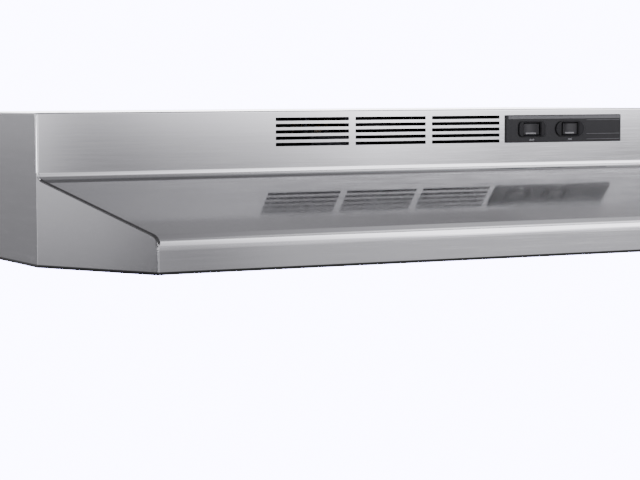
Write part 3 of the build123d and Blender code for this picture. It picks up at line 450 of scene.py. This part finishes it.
def front_glow(look):
    """What the front sees, from the bottom of the card to its top.

    Lip and face look straight at it, the bends at the ceiling above them, and the slope sees it
    by way of the face, from 0.64 m up.
    """
    height, across = look.axis(2), look.axis(0)
    lip = levels(look, 2, (-0.24, 0.71), (-0.21, 0.82), (-0.16, 0.74)) * levels(
        look, 0, (-0.4, 0.75), (-0.13, 0.66), (-0.03, 0.50), (0.03, 0.49), (0.17, 0.84),
        (0.5, 1.0))
    glint = levels(look, 2, (-0.17, 0.0), (-0.155, 1.0), (-0.125, 1.0), (-0.11, 0.0))
    lip = lip + glint * levels(look, 0, (-0.1, 0.4), (0.38, 1.5), (0.7, 1.7))
    base = levels(look, 0, (-0.4, 1.5), (-0.13, 1.15), (-0.09, 0.86), (-0.06, 0.60),
                  (-0.02, 0.48), (0.03, 0.49), (0.152, 0.69), (0.25, 0.89), (0.313, 1.08),
                  (0.38, 1.34), (0.44, 1.70), (0.49, 1.70), (0.54, 1.52), (0.62, 1.36),
                  (0.68, 1.10), (0.84, 1.05), (0.90, 0.84))
    rise = levels(look, 2, (-0.09, 0.0), (-0.06, 0.17), (-0.035, 0.62), (-0.005, 1.75), (0.06, 2.3))
    face = base * (rise * look.step(across, -0.1, 0.12, 0.42, 1.0) + 1.0)
    face = face * levels(look, 2, (-0.105, 0.78), (-0.085, 0.90), (-0.065, 1.0))
    ceiling = levels(look, 0, (-0.08, 1.0), (0.07, 1.6), (0.38, 4.0), (0.7, 4.8))
    near = levels(look, 0, (0.1, 0.49), (0.2, 0.45), (0.26, 0.46), (0.31, 0.54), (0.42, 0.59),
                  (0.665, 0.78), (0.80, 0.84), (1.0, 0.76))
    upper = levels(look, 0, (0.1, 0.70), (0.30, 0.89), (0.41, 0.92), (0.45, 0.68), (0.665, 0.80),
                   (1.1, 0.88))
    strip = levels(look, 0, (0.1, 0.75), (0.31, 0.95), (0.41, 0.90), (0.45, 0.35), (0.7, 0.31),
                   (1.03, 0.36))
    beyond = levels(look, 0, (0.07, 0.36), (0.28, 0.60), (0.6, 1.5), (1.06, 2.1))
    far = levels(look, 0, (0.5, 0.3), (0.757, 0.8), (1.1, 1.8))
    total = lip
    for above, start, end in ((face, -0.15, -0.11), (ceiling, 0.01, 0.10), (near, 0.64, 0.69),
                              (upper, 0.705, 0.75), (strip, 0.772, 0.785),
                              (beyond, 0.81, 0.85), (far, 0.90, 1.12)):
        share = look.step(height, start, end)
        total = total * (1.0 - share) + above * share
    return total


def left_glow(look):
    """What the left side sees, far behind it."""
    return levels(look, 2, (-0.45, 0.25), (-0.317, 0.30), (-0.18, 0.35), (-0.113, 0.41),
                  (-0.058, 0.50), (-0.02, 0.53), (0.5, 0.96))


def near_left_glow(look):
    """What the mitred left side sees: a tall glow, and a bright strip for the corner of the lip."""
    tall = levels(look, 2, (-0.26, 0.36), (-0.07, 0.97), (0.3, 1.02))
    tall = tall * levels(look, 1, (-0.06, 0.55), (-0.021, 0.71), (0.033, 0.92), (0.10, 1.0))
    strip = levels(look, 1, (-0.90, 0.0), (-0.80, 7.3), (-0.36, 7.3), (-0.28, 0.0))
    belt = levels(look, 2, (-0.17, 0.0), (-0.14, 1.0), (-0.03, 1.0), (0.0, 0.0))
    return tall + strip * belt


card("front_card", (-0.9, -0.95, -0.28), (1.3, -0.95, 1.15), front_glow)
card("left_card", (-1.2, 0.8, -0.6), (-1.2, 6.0, 1.1), left_glow)
card("near_left_card", (-1.3, -1.0, -0.5), (-1.3, 0.5, 0.6), near_left_glow)


def air_glow(sky):
    """How bright the air is by direction, whose parts run from -1 to 1 along X, Y and Z."""
    heading = sky.node("TexCoord", output="Generated")
    sideways, rearward, rise = (sky.axis(index, heading) for index in range(3))
    horizon = sky.within(rise, (-0.02, 0.02), (0.30, 0.16)) * sky.step(rearward, 0.3, 0.7)
    belt = sky.step(rise, 0.28, 0.36) * sky.step(rise, 0.50, 0.60, 0.7, 0.0)
    overhead = sky.step(sideways, 0.36, 0.56, -0.10, 0.48)
    forward = sky.step(rearward, -0.18, -0.36) * sky.step(sideways, 0.38, 0.56, 0.0, 2.2)
    from_right = sky.step(sideways, 0.42, 0.50, 0.0, -0.06)
    from_left = sky.step(sideways, 0.20, -0.20, 0.0, 0.65)
    from_below = sky.step(rise, -0.04, -0.30, 0.0, 0.45)
    total = horizon * 7.5 + (overhead + forward) * sky.step(rise, 0.62, 0.70) + 0.40
    return total + from_left + from_below + belt + from_right


world = bpy.data.worlds.new("studio")
bpy.context.scene.world = world
studio_sky = Look(world)
shown = studio_sky.node("LightPath", output="Is Camera Ray")
paper = studio_sky.node("Background", None, {"Color": (0.62, 0.60, 1.0, 1.0), "Strength": 18.0})
air = studio_sky.node("Background", None, {"Color": daylight, "Strength": air_glow(studio_sky)})
studio_sky.end("OutputWorld", studio_sky.node("MixShader", None, {0: shown, 1: air, 2: paper}))


# ---- Piece tools ----------------------------------------------------------------


class Shape(Tree):
    """A geometry tree under construction, with its sizes as named inputs."""

    family = "GeometryNode"

    def __init__(self, name, **sizes):
        self.tree = bpy.data.node_groups.new(name, "GeometryNodeTree")
        self.sizes = sizes
        sockets = self.tree.interface
        sockets.new_socket("base", in_out="INPUT", socket_type="NodeSocketGeometry")
        sockets.new_socket("made", in_out="OUTPUT", socket_type="NodeSocketGeometry")
        for key, value in sizes.items():
            kind = "NodeSocketInt" if isinstance(value, int) else "NodeSocketFloat"
            sockets.new_socket(key, in_out="INPUT", socket_type=kind)
        self.source = self.tree.nodes.new("NodeGroupInput")

    def given(self, name):
        """The base mesh, or one of the sizes, as the tree is given it."""
        return Value(self, self.source.outputs[name])

    def grow(self, geometry, coat, base=None):
        """Ends the tree, runs it on a base mesh and returns a plain mesh."""
        solid = self.node("RealizeInstances", None, {0: geometry})
        coated = self.node("SetMaterial", None, {"Geometry": solid, "Material": finish[coat]})
        end = self.tree.nodes.new("NodeGroupOutput")
        self.tree.links.new(coated.socket, end.inputs["made"])
        holder = bpy.data.objects.new("holder", base or bpy.data.meshes.new("base"))
        bpy.context.scene.collection.objects.link(holder)
        modifier = holder.modifiers.new("shape", "NODES")
        modifier.node_group = self.tree
        for item in self.tree.interface.items_tree:
            if item.name in self.sizes:
                modifier[item.identifier] = self.sizes[item.name]
        ready = holder.evaluated_get(bpy.context.evaluated_depsgraph_get())
        mesh = bpy.data.meshes.new_from_object(ready)
        holder.modifiers.clear()
        bpy.data.objects.remove(holder)
        return mesh


def keep(name, mesh, coat, body, replaced=()):
    """Links a finished mesh and gives it its finish and its body, hiding the imported parts it
    replaces.
    """
    mesh.name = name
    mesh.materials.clear()
    mesh.materials.append(finish[coat])
    piece = bpy.data.objects.new(name, mesh)
    bpy.context.scene.collection.objects.link(piece)
    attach(piece, body)
    if replaced:
        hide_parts(*replaced)
    return piece


def spots(name, places):
    """A base mesh of loose points, in millimetres."""
    mesh = bpy.data.meshes.new(name)
    mesh.from_pydata([Vector(place) * MM for place in places], [], [])
    return mesh


def lines(name, paths):
    """A base mesh of open paths, in millimetres."""
    mesh = bpy.data.meshes.new(name)
    points, edges = [], []
    for path in paths:
        start = len(points)
        points += [Vector(place) * MM for place in path]
        edges += [(index, index + 1) for index in range(start, len(points) - 1)]
    mesh.from_pydata(points, edges, [])
    return mesh


def blocks(name, boxes, ease=0.15):
    """One mesh of small blocks with eased edges, each from a low to a high corner."""
    shape = bmesh.new()
    for low, high in boxes:
        low, high = Vector(low) * MM, Vector(high) * MM
        span = high - low
        place = Matrix.Translation((low + high) / 2) @ Matrix.Diagonal((*span, 1))
        bmesh.ops.create_cube(shape, size=1, matrix=place)
    bmesh.ops.bevel(shape, geom=shape.edges[:], offset=ease * MM, segments=2, affect="EDGES",
                    profile=0.6)
    mesh = bpy.data.meshes.new(name)
    shape.to_mesh(mesh)
    shape.free()
    return mesh


def closed(name, points, faces):
    """A mesh from points in millimetres, with its faces turned outwards."""
    mesh = bpy.data.meshes.new(name)
    mesh.from_pydata([Vector(point) * MM for point in points], [], faces)
    return outwards(mesh)


def outwards(mesh):
    """Turns the faces of a closed mesh outwards."""
    shape = bmesh.new()
    shape.from_mesh(mesh)
    bmesh.ops.recalc_face_normals(shape, faces=shape.faces[:])
    shape.to_mesh(mesh)
    shape.free()
    return mesh


def rounds(profile, axis_point):
    """A closed turned shape about a line along Y; the profile gives (y, radius) pairs."""
    turns = 64
    points, faces = [], []
    for y, radius in profile:
        for turn in range(turns):
            angle = 2 * pi * turn / turns
            reach = radius(angle) if callable(radius) else radius
            x, z = axis_point[0] + reach * cos(angle), axis_point[1] + reach * sin(angle)
            points.append((x, y, z))
    for row in range(len(profile) - 1):
        for turn in range(turns):
            after = (turn + 1) % turns
            low, high = row * turns, (row + 1) * turns
            faces.append((low + turn, low + after, high + after, high + turn))
    faces.append(tuple(range(turns)))
    faces.append(tuple(reversed(range((len(profile) - 1) * turns, len(profile) * turns))))
    mesh = closed("rounds", points, faces)
    mesh.shade_smooth()
    return mesh


# ---- Seams of the canopy ----------------------------------------------------------
mitre = atan2(half_width - lip_half, front_y - lip_y)
arc_points = 9


def bend(corner, before, after, radius):
    """Points of the arc that rounds a corner of a path in the YZ plane."""
    corner, before, after = Vector(corner), Vector(before), Vector(after)
    one, two = (before - corner).normalized(), (after - corner).normalized()
    half = one.angle(two) / 2
    centre = corner + (one + two).normalized() * radius / sin(half)
    first = corner + one * radius / tan(half) - centre
    last = corner + two * radius / tan(half) - centre
    return [centre + first.slerp(last, step / (arc_points - 1)) * radius
            for step in range(arc_points)]


def seam_path(side, inset, depth, first, last):
    """Runs along the slope's skin beside a mitred side, over some of the profile's points."""
    knee, brow, lip_foot = (front_y, knee_z), (lip_y, brow_z), (lip_y, -153.0)
    profile = bend(knee, (front_y, 0), brow, 8.5) + bend(brow, knee, lip_foot, 13.0)
    sunk_from, sunk_by = 12, 0.3  # the end dips behind the lip, more with each point
    out = []
    for index in range(first, last):
        point = profile[index]
        ahead = profile[min(index + 1, len(profile) - 1)] - profile[max(index - 1, 0)]
        away = Vector((-ahead[1], ahead[0])).normalized()
        y, z = point + away * depth
        y += sunk_by * max(0, index - sunk_from)
        share = (y - lip_y) / (front_y - lip_y)
        x = lip_half + (half_width - lip_half) * share - inset / cos(mitre)
        out.append((side * x, y, z))
    return out


def seam_rods(name, coat, paths, radius):
    """Round rods along paths, closed at their ends."""
    bead = Shape(name, radius=radius * MM)
    ring = bead.node("CurvePrimitiveCircle", None,
                     {"Resolution": 12, "Radius": bead.given("radius")})
    route = bead.node("MeshToCurve", None, {0: bead.given("base")})
    route = bead.node("ResampleCurve", None, {"Curve": route, "Count": 90})
    rod = bead.node("CurveToMesh", None,
                    {"Curve": route, "Profile Curve": ring, "Fill Caps": True})
    return bead.grow(bead.node("SetShadeSmooth", None, {0: rod}), coat, lines(name, paths))


# Dark rubber beads in the slope's side seams: painted shade, standing in for the shade in their
# gaps.
slope_seams = [seam_path(side, inset=1.9, depth=0.8, first=6, last=2 * arc_points)
               for side in (-1, 1)]
keep("seam_shade_beads", seam_rods("seam_shade_beads", "rubber", slope_seams, 2.0), "rubber", "hood")
knee_seams = [seam_path(side, inset=1.8, depth=1.25, first=0, last=6) for side in (-1, 1)]
keep("knee_welds", seam_rods("knee_welds", "stainless", knee_seams, 1.25), "stainless", "hood")


def rim_corners(low, high):
    """Solid corners that close the rim where lip and mitred side meet; Y counts from the lip."""
    plan = ((304.5, 0.1), (308.8, 0.1), (310.1, 0.8), (311.9, 4.2), (310.4, 5.0), (308.6, 2.4),
            (304.5, 2.4))
    shape = bmesh.new()
    for side in (-1, 1):
        ends = []
        for z in (low, high):
            ends.append([shape.verts.new(Vector((side * x, lip_y + y, z)) * MM) for x, y in plan])
        shape.faces.new(ends[0])
        shape.faces.new(ends[1])
        for index in range(len(plan)):
            one, two = ends[0][index - 1], ends[0][index]
            shape.faces.new((one, two, ends[1][index], ends[1][index - 1]))
    bmesh.ops.recalc_face_normals(shape, faces=shape.faces[:])
    bmesh.ops.bevel(shape, geom=shape.edges[:], offset=0.3 * MM, segments=2, affect="EDGES")
    mesh = bpy.data.meshes.new("rim_corners")
    shape.to_mesh(mesh)
    shape.free()
    return mesh


keep("rim_corners", rim_corners(low=-152.95, high=-149.6), "stainless_side", "hood")

# ---- Nameplate: raised band with a painted highlight, rules and plain legends -------
plate_low, plate_high = (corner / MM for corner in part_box("nameplate"))
plate_face = plate_low[1]


def on_plate(left, right, low, high, rise):
    """Two corners of a block that stands out of the nameplate's face."""
    return (left, plate_face - rise, low), (right, plate_face + 0.2, high)


# The raised band's lighter grey is a painted highlight along the top of the nameplate.
keep("plate_highlight_band", blocks("band", [on_plate(plate_low[0] + 3.0, plate_high[0] - 1.2, -11.3,
                                            plate_high[2] - 0.9, 0.35)]),
     "plate_highlight_band", "hood")
legend_z = -34.6  # the lowest rule runs on beside the legends
rules = [on_plate(273.0, plate_high[0] - 1.5, level - 0.3, level + 0.3, 0.12)
         for level in (-12.9, -28.5, legend_z)]
keep("plate_rules", blocks("rules", rules, 0.05), "rule_paint", "hood")


def legend(words, x):
    """Raised letters on the nameplate, centred on a place along X."""
    height, rise = 1.7, 0.06
    text = bpy.data.curves.new("legend", "FONT")
    text.body = words
    text.size = height * 1.4 * MM
    text.extrude = rise * MM
    text.align_x = "CENTER"
    text.align_y = "CENTER"
    holder = bpy.data.objects.new("legend", text)
    bpy.context.scene.collection.objects.link(holder)
    ready = holder.evaluated_get(bpy.context.evaluated_depsgraph_get())
    mesh = bpy.data.meshes.new_from_object(ready)
    bpy.data.objects.remove(holder)
    place = Vector((x, plate_face - rise, legend_z)) * MM
    mesh.transform(Matrix.Translation(place) @ Matrix.Rotation(pi / 2, 4, "X"))
    return mesh


legends = bmesh.new()
for words, x in (("LIGHT", 199.3), ("FAN", 250.3)):
    legends.from_mesh(legend(words, x))
legend_mesh = bpy.data.meshes.new("legends")
legends.to_mesh(legend_mesh)
legends.free()
keep("plate_legends", legend_mesh, "legend_paint", "hood")


def rocker_highlight_bar(x, tilt):
    """A painted highlight: a light bar low on a rocker, bent to the valley of its face."""
    half_length, columns = 6.2, 12
    low, high, skin, root = -5.4, -3.9, -0.10, 0.3
    valley_radius, valley_y, pivot_y, pivot_z = 23.56, -4.8, -148.4, -22.7
    points, faces = [], []
    for column in range(columns + 1):
        reach = half_length * (2 * column / columns - 1)
        valley = (valley_radius ** 2 - reach ** 2) ** 0.5 - valley_radius + valley_y
        points += [(reach, valley + deep, z) for deep, z in (
            (skin, low), (skin, high), (root, high), (root, low))]
    for column in range(columns):
        for side in range(4):
            near, far = column * 4 + side, column * 4 + (side + 1) % 4
            faces.append((near, far, far + 4, near + 4))
    faces += [(3, 2, 1, 0), tuple(columns * 4 + side for side in range(4))]
    mesh = closed("rocker_highlight_bar", points, faces)
    pivot = Matrix.Translation(Vector((x, pivot_y, pivot_z)) * MM)
    mesh.transform(pivot @ Matrix.Rotation(radians(tilt), 4, "Z"))
    return mesh


# Painted highlights: a light bar low on each rocker.
for body, x, tilt in (("light_rocker", 199.2, -8.0), ("fan_rocker", 250.0, 0.0)):
    keep(body + "_bar", rocker_highlight_bar(x, tilt), "highlight_bar_paint", body)

# ---- Filter: expanded metal over charcoal fleece -------------------------------------
filter_x, filter_y = 20.1, 2.0
long_mm, short_mm, diamonds, strands = 9.0, 4.5, 58, 96
screen = Shape("expanded_metal", long_way=long_mm * MM, short_way=short_mm * MM,
               strand=0.75 * MM, thickness=0.42 * MM, gap=7.5 * MM, diamonds=diamonds,
               rows=strands)
long_way, short_way = screen.given("long_way"), screen.given("short_way")
strand_line = screen.node("MeshLine", None, {
    "Count": screen.given("diamonds") + 1,
    "Offset": screen.node("ShaderNodeCombineXYZ", None, {0: long_way * 0.5})})
odd = screen.node("ShaderNodeMath", {"operation": "MODULO"},
                  {0: screen.node("InputIndex"), 1: 2.0})
swing = screen.node("ShaderNodeCombineXYZ", None, {1: (odd - 0.5) * short_way * 0.5})
strand_line = screen.node("SetPosition", None, {"Geometry": strand_line, "Offset": swing})
flat_bar = screen.node("CurvePrimitiveQuadrilateral", None, {
    "Width": screen.given("strand"), "Height": screen.given("thickness")})
strand = screen.node("CurveToMesh", None, {
    "Curve": screen.node("MeshToCurve", None, {0: strand_line}), "Profile Curve": flat_bar,
    "Fill Caps": True})
row_places = screen.node("MeshLine", None, {
    "Count": screen.given("rows"),
    "Offset": screen.node("ShaderNodeCombineXYZ", None, {1: short_way * 0.5})})
turned = screen.node("ShaderNodeCombineXYZ", None, {0: 1.0, 1: 1.0 - odd * 2.0, 2: 1.0})
web = screen.node("InstanceOnPoints", None, {
    "Points": row_places, "Instance": strand, "Scale": turned})
web = screen.node("RealizeInstances", None, {0: web})
both_sides = screen.node("MeshLine", None, {
    "Count": 2,
    "Offset": screen.node("ShaderNodeCombineXYZ", None, {2: screen.given("gap")})})
web = screen.node("InstanceOnPoints", None, {"Points": both_sides, "Instance": web})
screen_mesh = screen.grow(web, "aluminium")
screen_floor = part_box("filter_screens")[0][2] / MM
first_strand = Vector((filter_x - diamonds * long_mm / 4, filter_y - (strands - 1) * short_mm / 4,
                       screen_floor + 0.25))
screen_mesh.transform(Matrix.Translation(first_strand * MM))
keep("expanded_metal", outwards(screen_mesh), "aluminium", "filter",
     ("filter_screens",))

pad_low, pad_high = (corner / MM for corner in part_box("filter_charcoal_pad"))


def fleece_pad():
    """A closed fleece slab whose two faces puff up a little, with a rim that is pressed thin."""
    columns, rows, rim_width = 132, 110, 4.0
    points, faces = [], []
    for face, level in enumerate((pad_low[2], pad_high[2])):
        for row in range(rows + 1):
            for column in range(columns + 1):
                x = pad_low[0] + (pad_high[0] - pad_low[0]) * column / columns
                y = pad_low[1] + (pad_high[1] - pad_low[1]) * row / rows
                edge = min(x - pad_low[0], pad_high[0] - x, y - pad_low[1], pad_high[1] - y)
                rough = noise.fractal(Vector((x * 0.35, y * 0.35, face * 40.0)), 0.7, 2.1, 4)
                sink = 0.45 + 0.40 * rough + 1.6 * max(0.0, 1 - edge / rim_width) ** 2
                points.append((x, y, level + max(0.05, sink) * (1, -1)[face]))
    width = columns + 1
    sheet_size = width * (rows + 1)
    for row in range(rows):
        for column in range(columns):
            corner = row * width + column
            quad = (corner, corner + width, corner + width + 1, corner + 1)
            faces.append(quad)
            faces.append(tuple(index + sheet_size for index in reversed(quad)))
    rim = [(column, 0) for column in range(columns)]
    rim += [(columns, row) for row in range(rows)]
    rim += [(column, rows) for column in range(columns, 0, -1)]
    rim += [(0, row) for row in range(rows, 0, -1)]
    numbers = [row * width + column for column, row in rim]
    for one, two in zip(numbers, numbers[1:] + numbers[:1]):
        faces.append((one, two, two + sheet_size, one + sheet_size))
    mesh = bpy.data.meshes.new("fleece_pad")
    mesh.from_pydata([Vector(point) * MM for point in points], [], faces)
    mesh.shade_smooth()
    return mesh


pad = keep("charcoal_fleece", fleece_pad(), "charcoal", "filter",
           ("filter_charcoal_pad",))

# ---- Lamp: prisms on the lens and a threaded cap on the bulb ---------------------------
lamp_x, lamp_z, lens_y = 255.0, -50.0, 3.0
lens_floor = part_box("light_lens")[0][2] / MM
prisms = Shape("lens_prisms", pitch=6.0 * MM, height=0.9 * MM, across=20, along=28)
field = prisms.node("MeshGrid", None, {
    "Size X": prisms.given("pitch") * (prisms.given("across") - 1),
    "Size Y": prisms.given("pitch") * (prisms.given("along") - 1),
    "Vertices X": prisms.given("across"), "Vertices Y": prisms.given("along")})
point = prisms.node("MeshCone", None, {
    "Vertices": 4, "Radius Top": 0.0, "Radius Bottom": prisms.given("pitch") * 0.66,
    "Depth": prisms.given("height")})
facets = prisms.node("InstanceOnPoints", None, {
    "Points": field, "Instance": point, "Rotation": (pi, 0, pi / 4)})
prism_mesh = prisms.grow(facets, "lens_polymer")
prism_mesh.transform(Matrix.Translation(Vector((lamp_x, lens_y, lens_floor + 0.05)) * MM))
keep("lens_prisms", prism_mesh, "lens_polymer", "lens")


def screw_thread(y):
    """Radius of a rolled lamp thread by angle, at one place along its axis."""
    crest, deep, pitch = 12.9, 0.75, 3.63

    def radius(angle):
        phase = (y / pitch - angle / (2 * pi)) * 2 * pi
        return crest - deep * (0.5 + 0.5 * sin(phase))
    return radius


# The cap's profile: its contact, its shoulder, the rings of its thread and its collar.
rings, ring_step = 62, 0.3
tip, collar = (corner[1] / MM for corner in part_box("bulb_cap"))
cap = [(tip, 4.6), (tip + 0.8, 5.2), (tip + 2.2, 6.4), (tip + 2.6, 8.4), (tip + 4.0, 11.4)]
cap += [(tip + 4.6 + ring_step * ring, screw_thread(ring_step * ring))
        for ring in range(rings)]
cap += [(collar - 2.2, 12.5), (collar, 12.5)]
keep("bulb_cap_thread", rounds(cap, (lamp_x, lamp_z)), "brass", "hood", ("bulb_cap",))

# ---- Spot welds that hold the sides, the back and the shell together --------------------
welds = Shape("spot_welds", radius=2.6 * MM, rise=0.05)
dome = welds.node("MeshUVSphere", None, {
    "Segments": 16, "Rings": 8, "Radius": welds.given("radius")})
low_rise = welds.node("ShaderNodeCombineXYZ", None, {0: 1.0, 1: welds.given("rise"), 2: 1.0})
marks = welds.node("InstanceOnPoints", None, {
    "Points": welds.given("base"), "Instance": dome, "Scale": low_rise})
marks = welds.node("SetShadeSmooth", None, {0: welds.node("RealizeInstances", None, {0: marks})})
back_y = 152.27
weld_places = [(x, back_y, z) for x in (-372.0, 372.0) for z in (-30, -62, -94, -126)]
weld_places += [(x, back_y, -8.0) for x in range(-300, 301, 100)]
keep("spot_welds", welds.grow(marks, "weld_mark", spots("welds", weld_places)), "weld_mark",
     "hood")

# ---- Floor: far enough down that a view from below stays over it ---------------------------
floor_z, floor_radius = -4.8, 14.0
floor_mesh = bpy.data.meshes.new("floor")
floor_shape = bmesh.new()
bmesh.ops.create_circle(floor_shape, cap_ends=True, segments=128, radius=floor_radius,
                        matrix=Matrix.Translation((0, 0, floor_z)))
floor_shape.to_mesh(floor_mesh)
floor_shape.free()
floor = bpy.data.objects.new("floor", floor_mesh)
floor_look = material("floor_paper")
floor_tone = floor_look.blend(floor_look.noise((3, 3, 3)), (0.83, 0.84, 0.85), (0.86, 0.87, 0.88))
floor_mesh.materials.append(floor_look.surface(
    floor_tone, 0.7, Emission_Color=(0.98, 0.98, 1.0, 1.0), Emission_Strength=2.2))
bpy.context.scene.collection.objects.link(floor)
